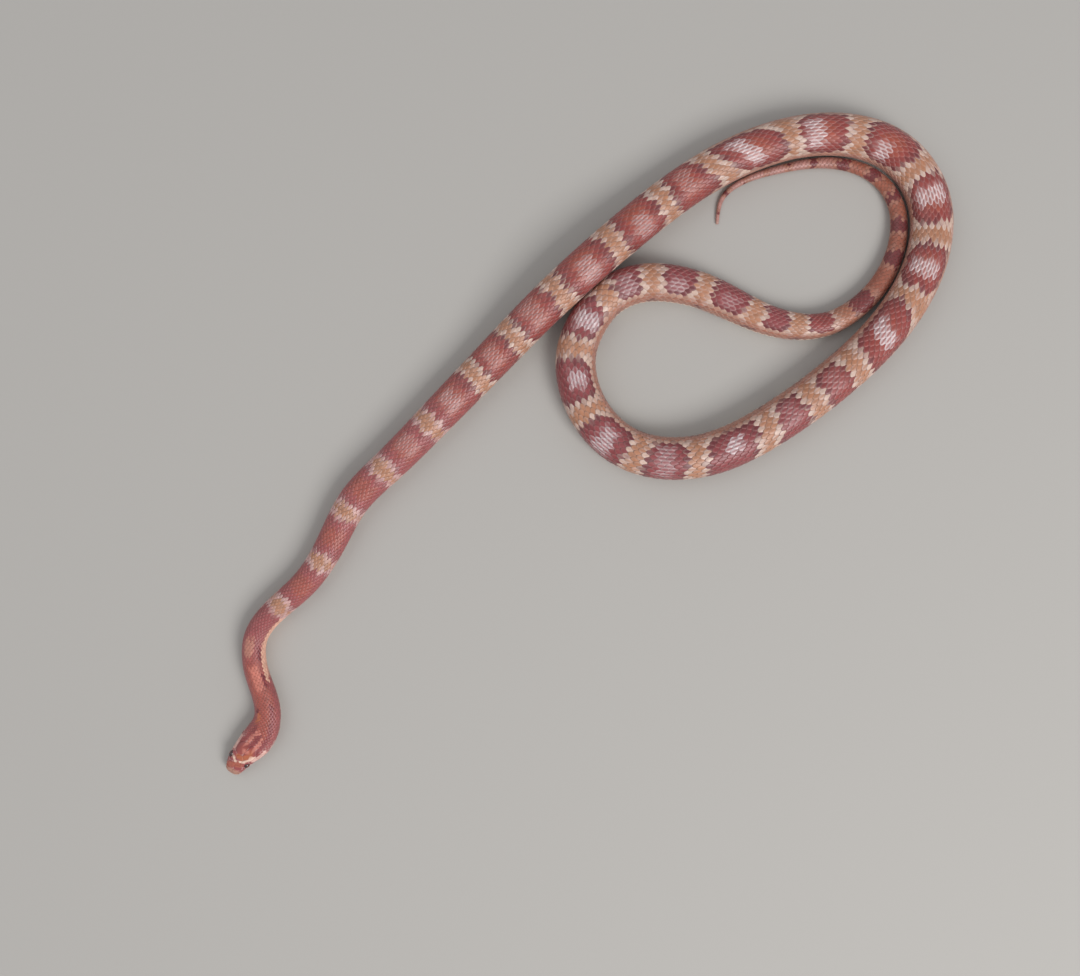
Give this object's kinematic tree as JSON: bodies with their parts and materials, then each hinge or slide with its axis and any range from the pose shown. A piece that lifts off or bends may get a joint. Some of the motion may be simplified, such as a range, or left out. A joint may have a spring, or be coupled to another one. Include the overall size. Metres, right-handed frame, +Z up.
{
  "type": "corn snake",
  "caption": "Life-size still model of a corn snake lying on the floor, body crossing its own loop, tail laid along the inner flank.",
  "frame": {"origin": "middle of the snake's box, on the floor that it lies on", "axes": "+X to the right and +Y up the picture's picture, +Z up from the floor; the head points to -X -Y"},
  "size_m": [0.4014, 0.3654, 0.025],
  "materials": {
    "scaled_skin": "brick-red saddles on orange, satin scales",
    "belly_skin": "pale pinkish scutes, satin",
    "eye": "dark reddish, clear and glossy"
  },
  "bodies": {
    "root": {"head": "scaled_skin", "lower_jaw": "belly_skin", "eye_right": "eye", "eye_left": "eye", "neck": "scaled_skin", "trunk_1": "scaled_skin", "trunk_2": "scaled_skin", "trunk_3": "scaled_skin", "trunk_4": "scaled_skin", "trunk_5": "scaled_skin", "trunk_6": "scaled_skin", "trunk_7": "scaled_skin", "trunk_8": "scaled_skin", "trunk_9": "scaled_skin", "trunk_10": "scaled_skin", "trunk_11": "scaled_skin", "trunk_12": "scaled_skin", "trunk_13": "scaled_skin", "tail_1": "scaled_skin", "tail_2": "scaled_skin", "tail_3": "scaled_skin", "tail_4": "scaled_skin", "tail_tip": "scaled_skin"}
  },
  "joints": []
}
